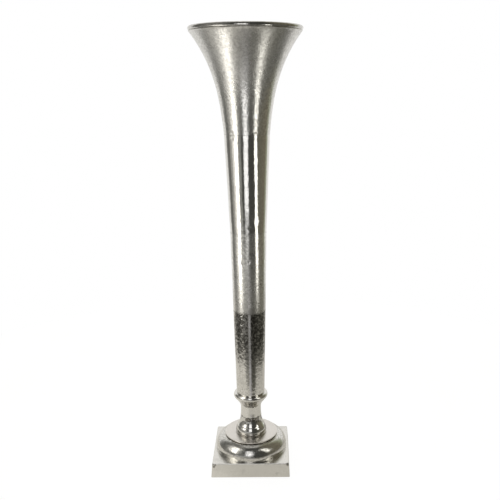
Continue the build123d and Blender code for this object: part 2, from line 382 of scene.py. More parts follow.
@dataclass(frozen=True)
class Nickel(Finish):
    """Nickel finish on a casting, from satin and mottled to mirror polish."""

    name: str
    tone: Colour = (0.715, 0.70, 0.66)
    stain_and_shade: Colour = (0.16, 0.15, 0.13)
    satin: float = 0.12
    satin_spread: float = 0.10
    grain_size: float = 0.008
    grain_depth: float = 0.00042
    fine_size: float = 0.0025
    fine_depth: float = 0.00008
    cloud_size: float = 0.022
    cloud_strength: float = 0.25
    fleck_strength: float = 0.35
    mottle_size: float = 0.0032
    mottle: float = 0.22
    belts: tuple[Belt, ...] = ()
    marks: tuple[Mark, ...] = ()
    highlight_stripes: tuple[HighlightStripe, ...] = ()
    haze_foot: float = 0.0
    haze_head: float = 1.0
    haze: float = 0.0
    oxide: float = 0.0
    polished_from: float = 9.0
    rim_fade: float = 0.0008
    rim_gloss: float = 0.75
    stain_and_shade_roughness: float = 0.1
    least_patchiness: float = 0.42
    cloud_edges: Point = (0.45, 0.75)
    fleck_edges: Point = (0.56, 0.72)
    mottle_edges: Point = (0.40, 0.62)
    patch_edges: Point = (0.40, 0.54)
    dull_edges: Point = (0.36, 0.60)

    def surface(self, graph: Graph, place: Wire) -> Wire:
        """Metal with clouds, flecks and darker belts, over a grainy casting; the belts are real stain on some
        pieces and painted shade on others, and highlight stripes lift the darkening where lamps reflect.

        Args:
            graph: The material's graph.
            place: Position on the piece, in metres.

        Returns:
            The shader's wire.
        """
        height = graph.add("ShaderNodeSeparateXYZ", {}, {0: place}, "Z")
        clouds = graph.grain(place, self.cloud_size, 3, 0.6)
        grain = graph.grain(place, self.grain_size, 3, 0.6)
        fine = graph.grain(place, self.fine_size, 2, 0.6, 0.37)
        spots = graph.grain(place, self.mottle_size, 2, 0.7, 0.71)
        cloudy = graph.rise(clouds, *self.cloud_edges) * self.cloud_strength
        flecks = graph.rise(grain, *self.fleck_edges) * self.fleck_strength
        mottle = graph.rise(spots, *self.mottle_edges) * self.mottle
        dark = graph.maths("MAXIMUM", graph.maths("MAXIMUM", cloudy, flecks), mottle)
        patchiness = self.least_patchiness + graph.rise(fine, *self.patch_edges) * (1.0 - self.least_patchiness)
        # Belts darken the colour, patchily: real stain on the foot and lower tubes, painted shade on the knop
        # and the mouth's lip.
        for belt in self.belts:
            dark = graph.maths("MAXIMUM", dark, belt.mask(graph, height, grain) * patchiness)
        # Marks darken round spots: real pits and bruises, and painted shade on the knop's limbs.
        for mark in self.marks:
            dark = graph.maths("MAXIMUM", dark, mark.mask(graph, place))
        # Painted highlights: stripes lined up with the lamps' reflections, where the darkening is left out.
        for stripe in self.highlight_stripes:
            dark = dark * (1.0 - stripe.mask(graph, place))
        colour = graph.mix(dark, self.tone, self.stain_and_shade)
        roughness = self.satin + clouds * self.satin_spread + dark * self.stain_and_shade_roughness
        if self.haze:
            roughness = roughness + graph.rise(height, self.haze_foot, self.haze_head) * self.haze
        rim = graph.rise(height, self.polished_from, self.polished_from + self.rim_fade)
        roughness = roughness * (1.0 - rim * self.rim_gloss)
        dull = graph.rise(graph.grain(place, self.mottle_size, 2, 0.7, 0.19), *self.dull_edges)
        metallic = 1.0 - dull * (1.0 - rim) * self.oxide
        relief = grain * self.grain_depth + fine * self.fine_depth
        normal = graph.add("ShaderNodeBump", {}, {"Strength": 1.0, "Distance": 1.0, "Height": relief})
        inputs = {"Base Color": colour, "Metallic": metallic, "Roughness": roughness, "Normal": normal}
        return graph.add("ShaderNodeBsdfPrincipled", {}, inputs)


@dataclass(frozen=True)
class ZincSteel(Finish):
    """Zinc-plated steel with turning lines and dull patches."""

    name: str = "zinc_plated_steel"

    def surface(self, graph: Graph, place: Wire) -> Wire:
        """Bluish plating, duller where it was handled.

        Args:
            graph: The material's graph.
            place: Position on the piece, in metres.

        Returns:
            The shader's wire.
        """
        patches = graph.grain(place, 0.006, 3, 0.6)
        fine = graph.grain(place, 0.0008, 2)
        colour = graph.mix(patches, (0.60, 0.61, 0.64), (0.36, 0.36, 0.36))
        roughness = 0.26 + patches * 0.25
        normal = graph.add("ShaderNodeBump", {}, {"Distance": 0.00003, "Height": fine})
        inputs = {"Base Color": colour, "Metallic": 1.0, "Roughness": roughness, "Normal": normal}
        return graph.add("ShaderNodeBsdfPrincipled", {}, inputs)


@dataclass(frozen=True)
class Felt(Finish):
    """Dark pressed wool felt."""

    name: str = "pressed_felt"

    def surface(self, graph: Graph, place: Wire) -> Wire:
        """Soft fibres in two sizes.

        Args:
            graph: The material's graph.
            place: Position on the piece, in metres.

        Returns:
            The shader's wire.
        """
        fibres = graph.grain(place, 0.0006, 4, 0.7)
        patches = graph.grain(place, 0.005, 2)
        colour = graph.mix(fibres * 0.6 + patches * 0.4, (0.018, 0.018, 0.019), (0.085, 0.083, 0.080))
        normal = graph.add("ShaderNodeBump", {}, {"Distance": 0.0003, "Height": fibres})
        inputs = {"Base Color": colour, "Roughness": 0.95, "Normal": normal}
        return graph.add("ShaderNodeBsdfPrincipled", {}, inputs)


@dataclass(frozen=True)
class Rubber(Finish):
    """Black seal rubber with a dusty bloom."""

    name: str = "seal_rubber"

    def surface(self, graph: Graph, place: Wire) -> Wire:
        """Matte black, greyer where the bloom lies.

        Args:
            graph: The material's graph.
            place: Position on the piece, in metres.

        Returns:
            The shader's wire.
        """
        bloom = graph.grain(place, 0.004, 4, 0.65)
        colour = graph.mix(bloom, (0.014, 0.014, 0.014), (0.060, 0.058, 0.055))
        normal = graph.add("ShaderNodeBump", {}, {"Distance": 0.00008, "Height": bloom})
        inputs = {"Base Color": colour, "Roughness": 0.55 + bloom * 0.3, "Normal": normal}
        return graph.add("ShaderNodeBsdfPrincipled", {}, inputs)


# Turned and cast forms


@dataclass(frozen=True)
class Dent:
    """A shallow hollow that the mould or a knock left."""

    centre: Place
    size: float
    depth: float


@dataclass(frozen=True)
class CastSkin:
    """How far a casting's skin lies under its ideal form, always inwards."""

    wave_size: float = 0.045
    wave_depth: float = 0.0004
    ripple_size: float = 0.011
    ripple_depth: float = 0.00016
    dents: tuple[Dent, ...] = ()

    def depth(self, place: Vector) -> float:
        """Depth of the skin at a place.

        Args:
            place: Point on the ideal form.

        Returns:
            Depth in metres, never below zero.
        """
        wave = 0.5 + 0.5 * noise.noise(place / self.wave_size)
        ripple = 0.5 + 0.5 * noise.noise(place / self.ripple_size)
        depth = max(0.0, wave) * self.wave_depth + max(0.0, ripple) * self.ripple_depth
        for dent in self.dents:
            away = (place - Vector(dent.centre)).length / dent.size
            depth += dent.depth * math.exp(-away * away)
        return depth


@dataclass(frozen=True)
class Corner:
    """One corner of an outline, and the straight stretch that follows it."""

    radius: float
    height: float
    bend: float = 0.0
    pitch: float = 0.006
    cast: float = 0.0

    def softened(self, before: "Corner", after: "Corner") -> list[Point]:
        """The points that round this corner off.

        Args:
            before: The corner before it.
            after: The corner after it.

        Returns:
            One point, or an arc of points from stretch to stretch.
        """
        here = Vector((self.radius, self.height))
        back = (Vector((before.radius, before.height)) - here).normalized()
        ahead = (Vector((after.radius, after.height)) - here).normalized()
        half = back.angle(ahead) / 2
        if not self.bend or half > math.radians(89.5):
            return [(self.radius, self.height)]
        reach = self.bend / math.tan(half)
        centre = here + (back + ahead).normalized() * (self.bend / math.sin(half))
        turn = math.pi - 2 * half
        steps = max(2, math.ceil(turn / math.radians(9)))
        start = here + back * reach - centre
        side = 1.0 if start.cross(here + ahead * reach - centre) > 0 else -1.0
        points = []
        for step in range(steps + 1):
            angle = side * turn * step / steps
            cos, sin = math.cos(angle), math.sin(angle)
            across = centre.x + start.x * cos - start.y * sin
            points.append((across, centre.y + start.x * sin + start.y * cos))
        return points


@dataclass(frozen=True)
class Arc:
    """An arc in the plane of radius and height, with its angles in radians from outwards."""

    centre: Point
    radius: float
    start: float
    end: float

    @staticmethod
    def through(first: Point, middle: Point, last: Point) -> "Arc":
        """The arc through three points.

        Args:
            first: Where it starts.
            middle: A point on it.
            last: Where it ends.

        Returns:
            The arc.
        """
        (ax, ay), (bx, by), (cx, cy) = first, middle, last
        scale = 2 * (ax * (by - cy) + bx * (cy - ay) + cx * (ay - by))
        a2, b2, c2 = ax * ax + ay * ay, bx * bx + by * by, cx * cx + cy * cy
        x = (a2 * (by - cy) + b2 * (cy - ay) + c2 * (ay - by)) / scale
        y = (a2 * (cx - bx) + b2 * (ax - cx) + c2 * (bx - ax)) / scale
        return Arc((x, y), math.hypot(ax - x, ay - y), math.atan2(ay - y, ax - x), math.atan2(cy - y, cx - x))

    @staticmethod
    def tangent(first: Point, last: Point, heading: Point) -> "Arc":
        """The arc that leaves one point in a given direction and ends at another.

        Args:
            first: Where it starts.
            last: Where it ends.
            heading: Its direction at the start, of length 1.

        Returns:
            The arc.
        """
        across, up = last[0] - first[0], last[1] - first[1]
        reach = (across * across + up * up) / (2 * (up * heading[0] - across * heading[1]))
        x, y = first[0] - heading[1] * reach, first[1] + heading[0] * reach
        start, end = math.atan2(first[1] - y, first[0] - x), math.atan2(last[1] - y, last[0] - x)
        turn = (end - start + math.pi) % (2 * math.pi) - math.pi
        return Arc((x, y), abs(reach), start, start + turn)

    def at(self, share: float) -> Point:
        """The point at a share of the turn."""
        angle = self.start + (self.end - self.start) * share
        return self.centre[0] + self.radius * math.cos(angle), self.centre[1] + self.radius * math.sin(angle)

    def heading(self) -> Point:
        """The direction at its end, of length 1."""
        way = math.copysign(1.0, self.end - self.start)
        return -math.sin(self.end) * way, math.cos(self.end) * way


@dataclass
class Outline:
    """The closed outline of a turned piece, in the plane of radius and height."""

    corners: list[Corner] = field(default_factory=list)

    def go(
        self, radius: float, height: float, bend: float = 0.0, pitch: float = 0.006, cast: float = 0.0
    ) -> "Outline":
        """Adds a corner.

        Args:
            radius: Distance from the axis.
            height: Height above the ground.
            bend: Radius of the bend at the corner.
            pitch: Longest step between points on the stretch after it.
            cast: Share of the cast skin's depth on that stretch.

        Returns:
            This outline, so that calls can be chained.
        """
        self.corners.append(Corner(radius, height, bend, pitch, cast))
        return self

    def curve(self, form: Callable[[float], Point], steps: int, cast: float = 0.0) -> "Outline":
        """Adds a curve.

        Args:
            form: Radius and height at a share of the curve from 0 to 1.
            steps: How many steps it takes.
            cast: Share of the cast skin's depth on it.

        Returns:
            This outline.
        """
        for step in range(steps + 1):
            self.go(*form(step / steps), cast=cast if step < steps else 0.0, pitch=1.0)
        return self

    def arc(self, arc: Arc, steps: int, cast: float = 0.0, skip: float = 0.0) -> "Outline":
        """Adds an arc.

        Args:
            arc: The arc.
            steps: How many steps it takes.
            cast: Share of the cast skin's depth on it.
            skip: Share of the arc that is left out at its start, where a corner stands.

        Returns:
            This outline.
        """
        return self.curve(lambda share: arc.at(skip + (1 - skip) * share), steps, cast)

    def stations(self) -> list[Place]:
        """The points of the outline.

        Returns:
            Radius, height and cast share of each point, all the way round.
        """
        count = len(self.corners)
        rounded = []
        for i, corner in enumerate(self.corners):
            rounded.append(corner.softened(self.corners[i - 1], self.corners[(i + 1) % count]))
        found = []
        for i, corner in enumerate(self.corners):
            found.extend((*point, corner.cast) for point in rounded[i])
            last, following = Vector(rounded[i][-1]), Vector(rounded[(i + 1) % count][0])
            steps = math.ceil((following - last).length / corner.pitch)
            for step in range(1, steps):
                found.append((*last.lerp(following, step / steps), corner.cast))
        return found


def bands(rings: int, sides: int, first: int = 0, closed: bool = False) -> list[Face]:
    """Faces between rings of points.

    Args:
        rings: How many rings there are.
        sides: How many points each ring has.
        first: Number of the first point.
        closed: Whether the last ring meets the first.

    Returns:
        The faces, as vertex numbers.
    """
    faces = []
    for ring in range(rings if closed else rings - 1):
        here, following = first + ring * sides, first + (ring + 1) % rings * sides
        for side in range(sides):
            turn = (side + 1) % sides
            faces.append((here + side, here + turn, following + turn, following + side))
    return faces


def caps(rings: int, sides: int, first: int = 0) -> list[Face]:
    """Faces that close the first and the last ring of a stack of rings.

    Args:
        rings: How many rings there are.
        sides: How many points each ring has.
        first: Number of the first point.

    Returns:
        The lower and the upper face, as vertex numbers.
    """
    lower = tuple(first + side for side in reversed(range(sides)))
    upper = tuple(first + (rings - 1) * sides + side for side in range(sides))
    return [lower, upper]


def new_piece(
    name: str, points: list[Place], faces: list[Face], finish: Finish
) -> bpy.types.Object:
    """Makes a piece from points and faces, and rides it on the vase.

    Args:
        name: The piece's name.
        points: Its vertices.
        faces: Its faces, as vertex numbers.
        finish: Its finish.

    Returns:
        The new object.
    """
    mesh = bpy.data.meshes.new(name)
    mesh.from_pydata(points, [], faces)
    mesh.validate()
    mesh.shade_smooth()
    mesh.set_sharp_from_angle(angle=SHARP_ANGLE)
    mesh.materials.append(finish.material())
    piece = bpy.data.objects.new(name, mesh)
    bpy.context.scene.collection.objects.link(piece)
    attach(piece, BODY)
    return piece


def turned(
    name: str, outline: Outline, sides: int, finish: Finish, skin: CastSkin | None = None
) -> bpy.types.Object:
    """Turns a closed outline about the vertical axis.

    Args:
        name: The piece's name.
        outline: Its closed outline.
        sides: How many sides the turned form has.
        finish: Its finish.
        skin: The cast skin, or none for a machined piece.

    Returns:
        The new object.
    """
    stations = outline.stations()
    count = len(stations)
    pairs = ((stations[i - 1], station) for i, station in enumerate(stations))
    area = sum(last[0] * here[1] - here[0] * last[1] for last, here in pairs)
    outside = 1.0 if area > 0 else -1.0
    points = []
    for i, (radius, height, cast) in enumerate(stations):
        before, after = stations[i - 1], stations[(i + 1) % count]
        along = Vector((after[0] - before[0], after[1] - before[1])).normalized()
        for side in range(sides):
            angle = 2 * math.pi * side / sides
            cos, sin = math.cos(angle), math.sin(angle)
            depth = 0.0
            if cast and skin:
                depth = cast * skin.depth(Vector((radius * cos, radius * sin, height)))
            out = radius - depth * outside * along.y
            points.append((out * cos, out * sin, height + depth * outside * along.x))
    faces = bands(count, sides, closed=True)
    if outside < 0:
        faces = [face[::-1] for face in faces]
    return new_piece(name, points, faces, finish)


def dress(node: str, finish: Finish) -> None:
    """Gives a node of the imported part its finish, with its shape as it is.

    Args:
        node: The node's name.
        finish: Its finish.
    """
    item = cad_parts[node]
    item.data.materials.clear()
    item.data.materials.append(finish.material())
    log.info("dressed %s", node)


def stand_for(piece: bpy.types.Object, node: str) -> None:
    """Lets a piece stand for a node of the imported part, and reports it."""
    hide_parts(node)
    log.info("built %s with %d faces", piece.name, len(piece.data.polygons))


def at_bearing(bearing: float, radius: float, height: float) -> Place:
    """A point round the axis.

    Args:
        bearing: Degrees from the front, to the right as the camera sees it.
        radius: Distance from the axis.
        height: Height above the ground.

    Returns:
        The point in the part's frame.
    """
    angle = math.radians(bearing)
    return radius * math.sin(angle), -radius * math.cos(angle), height


def placed(kind: type, rows: Iterable[tuple[float, ...]]) -> tuple:
    """Marks or dents round the axis.

    Args:
        kind: What each row makes, Mark or Dent.
        rows: Bearing, radius and height of each, then its own two values.

    Returns:
        The marks or dents.
    """
    return tuple(kind(at_bearing(*row[:3]), *row[3:]) for row in rows)


@dataclass(frozen=True)
class Levels:
    """Heights of the seats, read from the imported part."""

    plinth_top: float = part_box("plinth")[1].z
    moulding_top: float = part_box("foot_disc")[0].z
    disc_top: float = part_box("bell_knop")[0].z
    knop_top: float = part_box("neck_collar")[0].z
    neck_top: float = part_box("foot_tube")[0].z
    first_seam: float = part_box("lower_tube")[0].z
    second_seam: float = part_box("upper_tube")[0].z
    third_seam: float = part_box("trumpet_mouth")[0].z
    mouth_top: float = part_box("trumpet_mouth")[1].z


LEVELS = Levels()
ROD_HOLE_RADIUS = 0.0055


# The foot


@dataclass
class Foot:
    """Plinth, felt pads, rolled moulding and the thin disc on it."""

    register_radius: float = 0.009
    register_height: float = 0.004
    moulding_foot_radius: float = 0.0840
    moulding_widest_radius: float = 0.0846
    moulding_widest_rise: float = 0.0045
    moulding_shoulder_radius: float = 0.0655
    moulding_wall: float = 0.006
    moulding_boss_radius: float = 0.015
    moulding_seat_radius: float = 0.0575
    moulding_seat_height: float = 0.001
    disc_radius: float = 0.0623
    disc_edge_radius: float = 0.0007
    disc_register_radius: float = 0.0287
    disc_register_height: float = 0.002
    pad_radius: float = 0.011
    pad_thickness: float = 0.003
    pad_fuzz: float = 0.012
    pad_sides: int = 40
    roll_bulge_shares: Point = (0.68, 0.63)

    def plinth(self) -> None:
        """Dresses the plinth, a satin casting with bruised front corners."""
        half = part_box("plinth")[1].x
        top = LEVELS.plinth_top
        left, right, front = -half, half, -half
        bruises = (
            Mark((left + 0.0065, front + 0.0015, top - 0.0065), 0.0042, 0.75),
            Mark((left + 0.0095, front + 0.0015, top - 0.0030), 0.0036, 0.7),
            Mark((left + 0.0030, front + 0.0025, top - 0.0010), 0.0045, 0.6),
            Mark((right - 0.0040, front + 0.0025, top - 0.0010), 0.0062, 0.9),
            Mark((right - 0.0300, front + 0.0015, 0.010), 0.0050, 0.16),
        )
        finish = Nickel(
            "plinth_casting_nickel",
            satin=0.16,
            satin_spread=0.12,
            grain_size=0.009,
            grain_depth=0.00012,
            cloud_strength=0.13,
            fleck_strength=0.10,
            mottle=0.06,
            marks=bruises,
        )
        dress("plinth", finish)

    def pads(self) -> None:
        """Builds the four felt pads as one piece."""
        low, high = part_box("felt_pads")
        centre = high.x - self.pad_radius
        points, faces = [], []
        for x in (-centre, centre):
            for y in (-centre, centre):
                self._pad((x, y), low.z, points, faces)
        piece = new_piece("felt_feet", points, faces, Felt())
        stand_for(piece, "felt_pads")

    def _pad(self, centre: Point, foot: float, points: list[Place], faces: list[Face]) -> None:
        """Adds one felt pad with a fuzzy edge.

        Args:
            centre: Its centre on the ground.
            foot: Height of its underside.
            points: Vertices so far, which it adds to.
            faces: Faces so far, which it adds to.
        """
        rings = [(0.5, 0.0), (0.9, 0.0), (0.985, 0.08), (1.0, 0.35), (0.99, 0.7), (0.97, 1.0), (0.5, 1.0)]
        first, sides = len(points), self.pad_sides
        seed = centre[0] * 99 + centre[1] * 57
        for share, rise in rings:
            for side in range(sides):
                angle = 2 * math.pi * side / sides
                fuzz = self.pad_fuzz * (1 + noise.noise(Vector((side * 1.7, share * 9, seed))))
                reach = self.pad_radius * (share - (fuzz if share > 0.9 else 0.0))
                x, y = centre[0] + reach * math.cos(angle), centre[1] + reach * math.sin(angle)
                points.append((x, y, foot + rise * self.pad_thickness))
        faces.extend(bands(len(rings), sides, first))
        faces.extend(caps(len(rings), sides, first))

    def _roll(self, shoulder: Point, widest: Point) -> Arc:
        """The arc from a roll's widest line over its bulge to its shoulder.

        Args:
            shoulder: Radius and height of the shoulder.
            widest: Radius and height of the widest line.

        Returns:
            The arc.
        """
        across, up = self.roll_bulge_shares
        radius = shoulder[0] + (widest[0] - shoulder[0]) * across
        height = widest[1] + (shoulder[1] - widest[1]) * up
        return Arc.through(widest, (radius, height), shoulder)

    def moulding(self) -> None:
        """Builds the rolled moulding, hollow beneath, round its boss."""
        foot, top = LEVELS.plinth_top, LEVELS.moulding_top
        shoulder_height = top - self.moulding_seat_height
        roof = shoulder_height - self.moulding_wall
        widest_height = foot + self.moulding_widest_rise
        widest = (self.moulding_widest_radius, widest_height)
        shoulder = (self.moulding_shoulder_radius, shoulder_height)
        core_widest = (self.moulding_widest_radius - self.moulding_wall, widest_height)
        core_shoulder = (self.moulding_shoulder_radius - self.moulding_wall / 2, roof)
        outline = Outline()
        outline.go(self.moulding_foot_radius, foot, pitch=0.0015, cast=0.6)
        outline.arc(self._roll(shoulder, widest), 34, 1.0)
        outline.go(self.moulding_seat_radius, shoulder_height).go(self.moulding_seat_radius, top)
        outline.go(ROD_HOLE_RADIUS, top).go(ROD_HOLE_RADIUS, foot - self.register_height)
        outline.go(self.register_radius, foot - self.register_height).go(self.register_radius, foot)
        outline.go(self.moulding_boss_radius, foot).go(self.moulding_boss_radius, roof)
        core = self._roll(core_shoulder, core_widest)
        outline.arc(Arc(core.centre, core.radius, core.end, core.start), 12)
        outline.go(self.moulding_foot_radius - self.moulding_wall, foot)
        finish = Nickel(
            "moulding_nickel",
            satin=0.07,
            satin_spread=0.12,
            grain_size=0.0035,
            grain_depth=0.00010,
            cloud_size=0.016,
            cloud_strength=0.30,
            fleck_strength=0.25,
            fine_depth=0.00018,
            mottle_size=0.0030,
            mottle=0.42,
        )
        skin = CastSkin(ripple_size=0.009, ripple_depth=0.00018)
        piece = turned("rolled_moulding", outline, 240, finish, skin)
        stand_for(piece, "foot_moulding")

    def disc(self) -> None:
        """Builds the thin polished disc with its raised register."""
        foot, top, edge = LEVELS.moulding_top, LEVELS.disc_top, self.disc_edge_radius
        register_top = top + self.disc_register_height
        outline = Outline()
        outline.go(self.disc_radius, foot, edge, 0.0008).go(self.disc_radius, top, edge, 0.003)
        outline.go(self.disc_register_radius, top).go(self.disc_register_radius, register_top)
        outline.go(ROD_HOLE_RADIUS, register_top).go(ROD_HOLE_RADIUS, foot)
        finish = Nickel(
            "disc_nickel",
            tone=(0.70, 0.67, 0.625),
            satin=0.24,
            grain_size=0.012,
            grain_depth=0.00008,
            fine_depth=0.00002,
            cloud_strength=0.10,
            fleck_strength=0.05,
            mottle=0.06,
        )
        piece = turned("polished_disc", outline, 192, finish)
        stand_for(piece, "foot_disc")

    def build(self) -> None:
        """Builds and dresses the whole foot."""
        self.pads()
        self.plinth()
        self.moulding()
        self.disc()


# The stem


@dataclass
class Stem:
    """Bell knop and beaded neck."""

    knop_foot_radius: float = 0.0350
    knop_widest_radius: float = 0.0364
    knop_widest_rise: float = 0.0045
    knop_turn_radius: float = 0.0319
    knop_turn_rise: float = 0.0195
    knop_top_radius: float = 0.0249
    knop_wall: float = 0.006
    knop_roof: float = 0.007
    knop_core_foot_rise: float = 0.009
    knop_edge_radius: float = 0.0009
    knop_spigot_radius: float = 0.0182
    knop_spigot_height: float = 0.004
    neck_foot_radius: float = 0.0248
    neck_foot_flare: float = 0.010
    neck_radius: float = 0.0241
    neck_straight: float = 0.019
    neck_bend: float = 0.024
    neck_edge: float = 0.0006
    neck_core_radius: float = 0.0185
    neck_roof: float = 0.009
    bead_radius: float = 0.0398
    bead_height: float = 0.012
    bead_underside_radius: float = 0.0374
    bead_top_radius: float = 0.0373
    neck_spigot_radius: float = 0.0217
    neck_spigot_height: float = 0.0045

    def knop(self) -> None:
        """Builds the bell knop: a cove that turns into a rounded foot, cored from beneath."""
        foot, top = LEVELS.disc_top, LEVELS.knop_top
        roof, spigot_top = top - self.knop_roof, top + self.knop_spigot_height
        turn = (self.knop_turn_radius, foot + self.knop_turn_rise)
        widest = (self.knop_widest_radius, foot + self.knop_widest_rise)
        cove = Arc.tangent((self.knop_top_radius, top), turn, (0.0, -1.0))
        swell = Arc.tangent(turn, widest, cove.heading())
        tuck = Arc.tangent(widest, (self.knop_foot_radius, foot), swell.heading())
        core_foot, core_top = self.knop_foot_radius - self.knop_wall, self.knop_top_radius - self.knop_wall
        core_turn = self.knop_turn_radius + self.knop_wall / cove.heading()[1]
        outline = Outline()
        outline.go(self.knop_top_radius, top, self.knop_edge_radius, 1.0, 0.5)
        outline.arc(cove, 24, 1.0, 0.06).arc(swell, 18, 1.0, 1 / 18).arc(tuck, 5, 0.5, 1 / 5)
        outline.go(core_foot, foot).go(core_foot, foot + self.knop_core_foot_rise)
        outline.go(core_turn, turn[1]).go(core_top, roof).go(ROD_HOLE_RADIUS, roof)
        outline.go(ROD_HOLE_RADIUS, spigot_top).go(self.knop_spigot_radius, spigot_top)
        outline.go(self.knop_spigot_radius, top)
        # Painted shade: dark patches on the knop's two sides, where the camera sees its limbs.
        flank = self.knop_widest_radius
        rows = ((-84, flank, foot + 0.007, 0.013, 0.75), (84, flank, foot + 0.009, 0.014, 0.75))
        painted_limb_shade = placed(Mark, rows)
        finish = Nickel(
            "knop_nickel",
            satin=0.05,
            satin_spread=0.07,
            grain_size=0.004,
            grain_depth=0.00009,
            cloud_size=0.014,
            fleck_strength=0.12,
            mottle=0.12,
            belts=(
                # Painted shade: the knop's top under the neck is coloured dark where its face reflects the
                # dark floor.
                Belt(top - 0.008, top + 0.01, 0.004, 0.001, 1.15, 0.011),
                # Painted shade: the knop's tucked foot, where it meets the disc, is coloured darker.
                Belt(foot - 0.01, foot + 0.0065, 0.001, 0.003, 0.42, 0.002),
            ),
            marks=painted_limb_shade,
            # Painted highlights: the painted shade is left out where the left and right soft boxes reflect.
            highlight_stripes=(HighlightStripe(-50.0, 24.0, 0.85), HighlightStripe(60.0, 13.0, 0.7)),
        )
        skin = CastSkin(ripple_depth=0.0001)
        piece = turned("bell_knop_casting", outline, 160, finish, skin)
        stand_for(piece, "bell_knop")

    def neck(self) -> None:
        """Builds the neck and bead, one casting."""
        foot, top = LEVELS.knop_top, LEVELS.neck_top
        straight_foot = foot + self.neck_foot_flare
        straight_top = straight_foot + self.neck_straight
        bead_foot = top - self.bead_height
        bead_widest = bead_foot + self.bead_height / 2
        roof, spigot_top = top - self.neck_roof, top + self.neck_spigot_height
        outline = Outline()
        outline.go(self.neck_foot_radius, foot, self.neck_edge, 0.0012, 1.0)
        outline.go(self.neck_radius, straight_foot, self.neck_bend, 0.0012, 1.0)
        outline.go(self.neck_radius, straight_top, self.neck_bend, 0.0012, 1.0)
        underside, widest = (self.bead_underside_radius, bead_foot), (self.bead_radius, bead_widest)
        outline.arc(Arc.through(underside, widest, (self.bead_top_radius, top)), 22, 0.2)
        outline.go(self.neck_spigot_radius, top).go(self.neck_spigot_radius, spigot_top)
        outline.go(ROD_HOLE_RADIUS, spigot_top).go(ROD_HOLE_RADIUS, roof)
        outline.go(self.neck_core_radius, roof).go(self.neck_core_radius, foot)
        rim, waist, spots = self.neck_foot_radius, self.neck_radius, foot + self.neck_foot_flare
        chips = placed(
            Mark,
            (
                (-56, rim, foot + 0.0008, 0.0032, 0.9),
                (-14, rim, foot + 0.0002, 0.0022, 0.8),
                (12, rim, foot + 0.0002, 0.0026, 0.8),
                (44, rim, foot + 0.0010, 0.0030, 0.8),
                (-24, waist, spots + 0.0185, 0.0030, 0.6),
                (-6, waist, spots + 0.0200, 0.0022, 0.5),
                (14, waist, spots + 0.0185, 0.0032, 0.8),
                (30, waist, spots + 0.0210, 0.0026, 0.6),
            ),
        )
        finish = Nickel(
            "neck_nickel",
            satin=0.10,
            satin_spread=0.12,
            grain_size=0.004,
            grain_depth=0.00010,
            cloud_strength=0.12,
            fleck_strength=0.10,
            mottle=0.10,
            marks=chips,
        )
        piece = turned("beaded_neck", outline, 160, finish, CastSkin(ripple_depth=0.0001))
        stand_for(piece, "neck_collar")

    def build(self) -> None:
        """Builds the whole stem."""
        self.knop()
        self.neck()


# The trumpet


